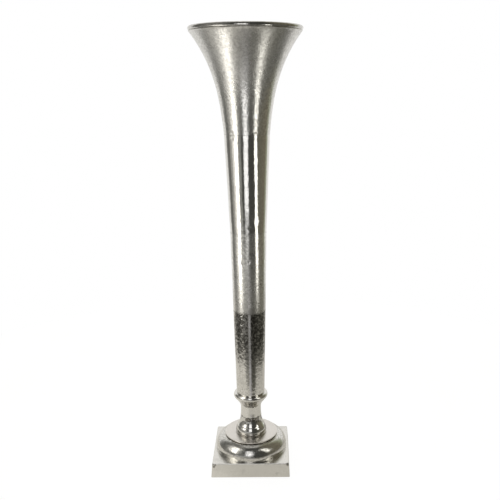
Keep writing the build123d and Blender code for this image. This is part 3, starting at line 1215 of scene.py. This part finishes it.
@dataclass
class Trumpet:
    """Three tapered tube sections, the flared mouth, and the watertight floor with its seal."""

    wall: float = 0.0045
    spigot_length: float = 0.012
    spigot_wall: float = 0.0021
    clearance: float = 0.0003
    edge: float = 0.0003
    flange_thickness: float = 0.006
    flange_hole_radius: float = 0.022
    foot_radius: float = 0.0331
    first_radius: float = 0.0372
    second_radius: float = 0.0410
    third_radius: float = 0.0502
    flare_end_radius: float = 0.1195
    lip_roll_radius: float = 0.0048
    lip_proud: float = 0.0015
    groove_depth: float = 0.0015
    groove_width: float = 0.0012
    straight_share: float = 0.31
    flare_power: float = 2.9
    seal_inner_radius: float = 0.023
    seal_edge: float = 0.0004

    def _socket(self, outline: Outline, radius: float, seam: float) -> None:
        """Adds the socket at a section's foot, from its roof out to its edge.

        Args:
            outline: The outline to add to.
            radius: Outer radius of the section at the seam.
            seam: Height of the seam.
        """
        inner = radius - self.wall
        bore = inner + self.spigot_wall + self.clearance
        roof = seam + self.spigot_length + self.clearance
        outline.go(inner, roof).go(bore, roof).go(bore, seam)

    def _spigot(self, outline: Outline, radius: float, seam: float) -> None:
        """Adds the shoulder and spigot at a section's head.

        Args:
            outline: The outline to add to.
            radius: Outer radius of the section at the seam.
            seam: Height of the seam.
        """
        inner = radius - self.wall
        outer, tip = inner + self.spigot_wall, seam + self.spigot_length
        outline.go(radius, seam, self.edge).go(outer, seam).go(outer, tip).go(inner, tip)
        outline.go(inner, seam, pitch=0.005, cast=0.5)

    def foot_tube(self) -> None:
        """Builds the lowest section, with the flange that carries the floor."""
        foot, head = LEVELS.neck_top, LEVELS.first_seam
        flange_top = foot + self.flange_thickness
        share = self.flange_thickness / (head - foot)
        bore = self.foot_radius + (self.first_radius - self.foot_radius) * share - self.wall
        outline = Outline()
        outline.go(self.foot_radius, foot, self.edge, 0.0022, 1.0)
        self._spigot(outline, self.first_radius, head)
        outline.go(bore, flange_top).go(self.flange_hole_radius, flange_top).go(self.flange_hole_radius, foot)
        dark = Belt(head - 0.082, head + 0.01, 0.060, 0.001, 0.94, 0.070)
        finish = Nickel(
            "foot_tube_nickel",
            stain_and_shade=(0.075, 0.072, 0.062),
            satin=0.06,
            fine_size=0.0052,
            fine_depth=0.00028,
            belts=(dark,),
            # Painted highlight: the dark belt is left out in a stripe facing the camera and the front strip
            # light.
            highlight_stripes=(HighlightStripe(0.0, 6.0, 0.9),),
            fleck_strength=0.35,
            mottle=0.26,
        )
        piece = turned("foot_tube_casting", outline, 128, finish, CastSkin())
        stand_for(piece, "foot_tube")

    def lower_tube(self) -> None:
        """Builds the tapered section above it, which has the dullest skin."""
        foot, head = LEVELS.first_seam, LEVELS.second_seam
        outline = Outline()
        self._socket(outline, self.first_radius, foot)
        outline.go(self.first_radius, foot, self.edge, 0.0022, 1.0)
        self._spigot(outline, self.second_radius, head)
        pits = placed(
            Mark,
            (
                (13, 0.0401, 0.5205, 0.0024, 0.95),
                (-50, 0.0390, 0.4625, 0.0036, 0.7),
                (43, 0.0386, 0.4470, 0.0026, 0.9),
                (9, 0.0374, 0.3850, 0.0120, 0.5),
            ),
        )
        finish = Nickel(
            "lower_tube_nickel",
            tone=(0.78, 0.765, 0.72),
            satin=0.07,
            satin_spread=0.12,
            haze_foot=head - 0.01,
            haze_head=foot + 0.02,
            haze=0.14,
            grain_depth=0.00024,
            fleck_strength=0.25,
            mottle_size=0.0044,
            mottle=0.36,
            oxide=0.14,
            belts=(Belt(foot - 0.01, foot + 0.001, 0.001, 0.006, 0.8, 0.010),),
            marks=pits,
        )
        dents = placed(
            Dent,
            (
                (13, 0.0401, 0.5205, 0.0035, 0.0007),
                (-18, 0.0397, 0.4985, 0.0035, 0.0006),
                (3.5, 0.0398, 0.5015, 0.0035, 0.0006),
            ),
        )
        piece = turned("lower_tube_casting", outline, 136, finish, CastSkin(dents=dents))
        stand_for(piece, "lower_tube")

    def upper_tube(self) -> None:
        """Builds the tapered section under the mouth, the most polished one."""
        foot, head = LEVELS.second_seam, LEVELS.third_seam
        outline = Outline()
        self._socket(outline, self.second_radius, foot)
        outline.go(self.second_radius, foot, self.edge, 0.0024, 1.0)
        self._spigot(outline, self.third_radius, head)
        finish = Nickel(
            "upper_tube_nickel",
            satin=0.04,
            fleck_strength=0.15,
            grain_depth=0.00016,
            mottle=0.20,
        )
        dents = placed(
            Dent,
            (
                (-36, 0.0499, 0.7735, 0.006, 0.0006),
                (6, 0.0416, 0.5755, 0.005, 0.0004),
                (27, 0.0418, 0.5900, 0.007, 0.0005),
            ),
        )
        piece = turned("upper_tube_casting", outline, 144, finish, CastSkin(dents=dents))
        stand_for(piece, "upper_tube")

    def mouth(self) -> None:
        """Builds the flared mouth with its groove and rolled lip."""
        foot, top = LEVELS.third_seam, LEVELS.mouth_top
        lip_radius = self.flare_end_radius + self.lip_proud - self.lip_roll_radius
        lip_height = top - self.lip_roll_radius
        groove_radius = self.flare_end_radius - self.groove_depth
        groove_drop = math.sqrt(self.lip_roll_radius**2 - (groove_radius - lip_radius) ** 2)
        flare_end = lip_height - groove_drop - self.groove_width
        span, growth = flare_end - foot, self.flare_end_radius - self.third_radius

        def outer(share: float) -> Point:
            """Outer radius and height at a share of the flare's height."""
            opening = self.straight_share * share + (1 - self.straight_share) * share**self.flare_power
            return self.third_radius + growth * opening, foot + span * share

        def inner(share: float) -> Point:
            """Inner radius and height, with the wall measured square to the outer face.

            Args:
                share: Share of the flare's height.

            Returns:
                Radius and height of the inner face there.
            """
            power = self.flare_power * share ** (self.flare_power - 1)
            slope = growth / span * (self.straight_share + (1 - self.straight_share) * power)
            radius, height = outer(share)
            return radius - self.wall * math.hypot(1, slope), height

        root_angle = math.atan2(flare_end - lip_height, inner(1)[0] - lip_radius) + 2 * math.pi
        groove_angle = math.atan2(-groove_drop, groove_radius - lip_radius)
        socket_share = (self.spigot_length + self.clearance) / span
        outline = Outline()
        outline.go(self.third_radius, foot, self.edge, 0.0022, 1.0)
        outline.curve(lambda share: outer(0.01 + 0.99 * share), 100, 1.0)
        outline.arc(Arc((lip_radius, lip_height), self.lip_roll_radius, groove_angle, root_angle), 30, 0.15)
        outline.curve(lambda share: inner(1 - (1 - socket_share) * share), 64, 0.7)
        self._socket(outline, self.third_radius, foot)
        finish = Nickel(
            "mouth_nickel",
            satin=0.09,
            satin_spread=0.13,
            fleck_strength=0.16,
            cloud_strength=0.18,
            haze_foot=foot,
            haze_head=foot + 0.15,
            haze=0.13,
            grain_depth=0.00030,
            fine_size=0.0040,
            fine_depth=0.00015,
            mottle_size=0.0048,
            mottle=0.32,
            oxide=0.08,
            marks=(Mark(at_bearing(23.5, 0.0507, 0.7828), 0.0045, 0.6),),
            # Painted shade: the rolled lip is coloured darker where it reflects the dark room.
            belts=(Belt(top - 0.0085, top + 0.01, 0.0006, 0.001, 0.45, 0.0),),
            polished_from=top - 0.0093,
        )
        skin = CastSkin(dents=(Dent(at_bearing(-36, 0.0500, 0.7800), 0.005, 0.0005),))
        piece = turned("flared_mouth", outline, 300, finish, skin)
        stand_for(piece, "trumpet_mouth")

    def seal(self) -> None:
        """Builds the rubber ring under the floor, a little rounded at its edges."""
        low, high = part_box("floor_seal")
        inner, bulge = self.seal_inner_radius, self.seal_edge
        outline = Outline()
        outline.go(high.x, low.z, bulge, 0.002).go(high.x, high.z, bulge, 0.002)
        outline.go(inner, high.z, bulge, 0.002).go(inner, low.z, bulge, 0.002)
        stand_for(turned("seal_ring", outline, 96, Rubber()), "floor_seal")

    def build(self) -> None:
        """Builds all sections and dresses the floor."""
        self.foot_tube()
        self.lower_tube()
        self.upper_tube()
        self.mouth()
        self.seal()
        finish = Nickel("tube_floor_nickel", satin=0.3, satin_spread=0.2, fleck_strength=0.5)
        dress("tube_floor", finish)


# The fastening


@dataclass
class Fastening:
    """Threaded tie rod, washers and nut under the plinth."""

    rod_radius: float = 0.005
    thread_pitch: float = 0.0015
    thread_depth: float = 0.0009
    end_chamfer: float = 0.001
    rows_per_turn: int = 6
    sides: int = 24

    def _rod_radius_at(self, angle: float, height: float, low: float, high: float) -> float:
        """Radius of the threaded rod at a bearing and height.

        Args:
            angle: Bearing in radians.
            height: Height above the ground.
            low: Height of the rod's foot.
            high: Height of its head.

        Returns:
            The radius there.
        """
        phase = (height / self.thread_pitch - angle / (2 * math.pi)) % 1.0
        flank = abs(2 * phase - 1)
        ends = min(height - low, high - height, self.end_chamfer)
        return min(self.rod_radius - self.thread_depth * flank, self.rod_radius - self.end_chamfer + ends)

    def rod(self) -> None:
        """Builds the tie rod with its thread."""
        low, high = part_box("tie_rod")
        rows = round((high.z - low.z) / self.thread_pitch * self.rows_per_turn)
        points = []
        for row in range(rows + 1):
            height = low.z + (high.z - low.z) * row / rows
            for side in range(self.sides):
                angle = 2 * math.pi * side / self.sides
                radius = self._rod_radius_at(angle, height, low.z, high.z)
                points.append((radius * math.cos(angle), radius * math.sin(angle), height))
        faces = bands(rows + 1, self.sides) + caps(rows + 1, self.sides)
        stand_for(new_piece("threaded_tie_rod", points, faces, ZincSteel("rod_zinc")), "tie_rod")

    def build(self) -> None:
        """Builds the rod and dresses the washers and the nut."""
        self.rod()
        for node in ("flat_washer", "lock_washer", "hex_nut"):
            dress(node, ZincSteel(f"{node}_zinc"))


# The studio


@dataclass(frozen=True)
class Card:
    """A soft box or lit card that stands round the vase and faces it."""

    name: str
    bearing: float
    spread: float
    distance: float
    foot: float
    head: float
    radiance: float
    tint: Colour = (1.0, 1.0, 1.0)
    lean: float = 0.0

    def place(self, turn: float) -> None:
        """Sets the card up as an area light.

        Args:
            turn: Bearing of the camera in degrees, which the card's bearing adds to.
        """
        width = 2 * self.distance * math.tan(math.radians(self.spread / 2))
        height = self.head - self.foot
        light = bpy.data.lights.new(self.name, "AREA")
        light.shape = "RECTANGLE"
        light.size, light.size_y = width, height
        light.energy = 4 * self.radiance * width * height
        light.color = self.tint
        lamp = bpy.data.objects.new(self.name, light)
        lamp.location = at_bearing(self.bearing + turn, self.distance, (self.foot + self.head) / 2)
        facing = Vector((-lamp.location.x, -lamp.location.y, 0.0))
        lamp.rotation_mode = "QUATERNION"
        tilt = Quaternion(Vector((0, 0, 1)), math.radians(self.lean))
        lamp.rotation_quaternion = facing.to_track_quat("-Z", "Y") @ tilt
        lamp.visible_camera = False
        bpy.context.scene.collection.objects.link(lamp)


@dataclass(frozen=True)
class PaperFloor(Finish):
    """White paper to the camera, and to the metal paper with dark cloth laid out on it."""

    name: str = "paper_floor"
    facing: float = 0.0

    def surface(self, graph: Graph, place: Wire) -> Wire:
        """The paper, its cloth and the bright strip before the vase.

        Args:
            graph: The material's graph.
            place: Position on the floor, in metres.

        Returns:
            The shader's wire.
        """
        away = graph.vector("LENGTH", place, out="Value")
        bearing = bearing_of(graph, place) - self.facing
        reaches = [
            (-180, 1.2),
            (-125, 1.2),
            (-100, 0.62),
            (-75, 0.62),
            (-58, 0.80),
            (-45, 0.70),
            (-30, 0.45),
            (-10, 0.42),
            (6, 0.34),
            (32, 0.34),
            (48, 0.50),
            (110, 0.54),
            (130, 1.2),
        ]
        halves = [(degrees, (far / 2, far / 2, far / 2)) for degrees, far in reaches]
        reach = graph.ramp(bearing, halves) * 2.0
        cloth = graph.rise(away - reach, -0.04, 0.06)
        strip = graph.rise(graph.maths("ABSOLUTE", bearing), 9.0, 6.0) * graph.rise(away, 0.25, 0.40)
        strip = strip * (1.0 - 0.7 * graph.rise(graph.maths("ABSOLUTE", away - 0.70), 0.14, 0.08))
        tint = graph.grain(place, 0.2, 2)
        left = graph.rise(bearing, -10.0, -45.0)
        paper = graph.mix(left, (0.64, 0.62, 0.57), (0.80, 0.775, 0.72))
        right = graph.rise(bearing, -22.0, 14.0)
        drape = graph.mix(right, (0.22, 0.215, 0.20), (0.09, 0.088, 0.075))
        drape = graph.mix(graph.rise(bearing, 30.0, 60.0), drape, (0.15, 0.147, 0.125))
        shade = graph.mix(cloth, paper, drape)
        glow = graph.mix(strip * 0.9, shade, (0.50, 0.49, 0.51))
        mirrored = graph.add("ShaderNodeEmission", {}, {"Color": glow, "Strength": 1.0})
        white = {"Base Color": (0.10, 0.10, 0.10, 1.0), "Roughness": 0.9, "Emission Strength": 0.94}
        white["Emission Color"] = graph.mix(tint, (0.99, 0.99, 0.985), (1.0, 1.0, 1.0))
        shown = graph.add("ShaderNodeBsdfPrincipled", {}, white)
        to_camera = graph.add("ShaderNodeLightPath", out="Is Camera Ray")
        return graph.add("ShaderNodeMixShader", {}, {0: to_camera, 1: mirrored, 2: shown})


@dataclass
class Studio:
    """Pale floor, white backdrop, dark room with soft boxes, and the camera."""

    camera_place: Place = (0.0516, -1.4757, 0.8849)
    camera_turn: float = 0.134
    pitch: float = 13.935
    roll: float = 0.384
    lens: float = 48.561
    sensor: float = 36.0
    shift: float = -0.040
    facing: float = 1.9
    floor_radius: float = 1.25
    floor_sides: int = 128
    backdrop_bearing: float = 122.0

    def cards(self) -> tuple[Card, ...]:
        """The soft boxes and cards, by their bearing from the camera."""
        warm, cool = (1.0, 0.985, 0.95), (0.97, 0.97, 1.0)
        return (
            Card("left_soft_box", -57, 20, 0.55, 0.195, 0.75, 2.0, warm),
            Card("left_soft_box_edge", -38, 16, 0.56, 0.195, 0.75, 0.13, warm),
            Card("left_soft_box_side", -74, 13, 0.56, 0.23, 0.75, 0.58, warm),
            Card("left_reflector", -88, 14, 0.56, 0.32, 0.75, 0.16, warm),
            Card("front_strip", -7, 21, 1.1, 0.32, 1.23, 1.15, cool),
            Card("front_strip_foot", -7, 21, 1.1, 0.22, 0.32, 0.40, cool),
            Card("far_paper", -26, 48, 1.15, 0.02, 0.21, 0.36),
            Card("right_soft_box", 49, 14, 0.55, 0.235, 0.73, 1.75, (1.0, 0.99, 0.95), 21.0),
        )

    def floor(self) -> None:
        """Lays the pale floor."""
        sides = self.floor_sides
        points = [at_bearing(360 * side / sides, self.floor_radius, 0.0) for side in range(sides)]
        mesh = bpy.data.meshes.new("studio_floor")
        mesh.from_pydata(points, [], [tuple(range(sides))])
        mesh.materials.append(PaperFloor(facing=self.facing).material())
        floor = bpy.data.objects.new("studio_floor", mesh)
        bpy.context.scene.collection.objects.link(floor)
        floor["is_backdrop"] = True

    def surroundings(self) -> None:
        """Makes the world: white to the camera, and to the metal a dark room before a white backdrop."""
        world = bpy.data.worlds.new("studio_room")
        bpy.context.scene.world = world
        world.use_nodes = True
        graph = Graph(world.node_tree)
        direction = graph.add("ShaderNodeTexCoord", out="Generated")
        upward = graph.add("ShaderNodeSeparateXYZ", {}, {0: direction}, "Z")
        bearing = bearing_of(graph, direction) - self.facing
        tones = [
            (-125, (0.30, 0.30, 0.29)),
            (-110, (0.16, 0.16, 0.15)),
            (-78, (0.33, 0.32, 0.30)),
            (-44, (0.20, 0.20, 0.19)),
            (-30, (0.085, 0.085, 0.08)),
            (10, (0.07, 0.07, 0.065)),
            (40, (0.065, 0.065, 0.058)),
            (66, (0.17, 0.16, 0.125)),
            (108, (0.21, 0.19, 0.14)),
            (118, (0.40, 0.42, 0.32)),
        ]
        walls = graph.ramp(bearing, tones)
        low = graph.mix(graph.rise(bearing, -60.0, -95.0), (0.14, 0.14, 0.13), (0.26, 0.26, 0.25))
        room = graph.mix(graph.rise(upward, -0.26, -0.38), walls, low)
        ceiling = graph.mix(graph.rise(upward, 0.955, 0.985), room, (0.75, 0.74, 0.72))
        aside = graph.maths("ABSOLUTE", bearing)
        behind = graph.rise(aside, self.backdrop_bearing, self.backdrop_bearing + 10)
        seen = graph.mix(behind, ceiling, (1.0, 0.995, 0.985))
        to_camera = graph.add("ShaderNodeLightPath", out="Is Camera Ray")
        shown = graph.mix(to_camera, seen, (1.0, 1.0, 1.0))
        background = graph.add("ShaderNodeBackground", {}, {"Color": shown, "Strength": 1.0})
        graph.add("ShaderNodeOutputWorld", {}, {"Surface": background})

    def camera(self) -> None:
        """Sets up the camera at the photograph's angle."""
        data = bpy.data.cameras.new("front_camera")
        data.lens, data.sensor_width, data.sensor_fit = self.lens, self.sensor, "HORIZONTAL"
        data.shift_x = self.shift
        data.dof.use_dof = False
        camera = bpy.data.objects.new("front_camera", data)
        camera.location = self.camera_place
        turn, tip, roll = (math.radians(v) for v in (self.camera_turn, 90 - self.pitch, self.roll))
        upright, across = Vector((0, 0, 1)), Vector((1, 0, 0))
        camera.rotation_mode = "QUATERNION"
        aim = Quaternion(upright, turn) @ Quaternion(across, tip)
        camera.rotation_quaternion = aim @ Quaternion(upright, -roll)
        bpy.context.scene.collection.objects.link(camera)
        bpy.context.scene.camera = camera

    def build(self) -> None:
        """Builds the studio and the camera."""
        bpy.context.scene.view_settings.view_transform = "Standard"
        self.floor()
        self.surroundings()
        for card in self.cards():
            card.place(self.facing)
        self.camera()
        log.info("set up the studio")


def corners() -> list[list[float]]:
    """Lowest and highest corner of what is shown, as plain lists."""
    return [list(corner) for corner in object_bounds()]


def main() -> None:
    """Builds every sub-assembly in order."""
    logging.basicConfig(level=logging.INFO, format="%(name)s: %(message)s")
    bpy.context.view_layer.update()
    for assembly in (Foot(), Stem(), Trumpet(), Fastening(), Studio()):
        assembly.build()
        log.info("finished %s", type(assembly).__name__)


if __name__ == "__main__":
    main()
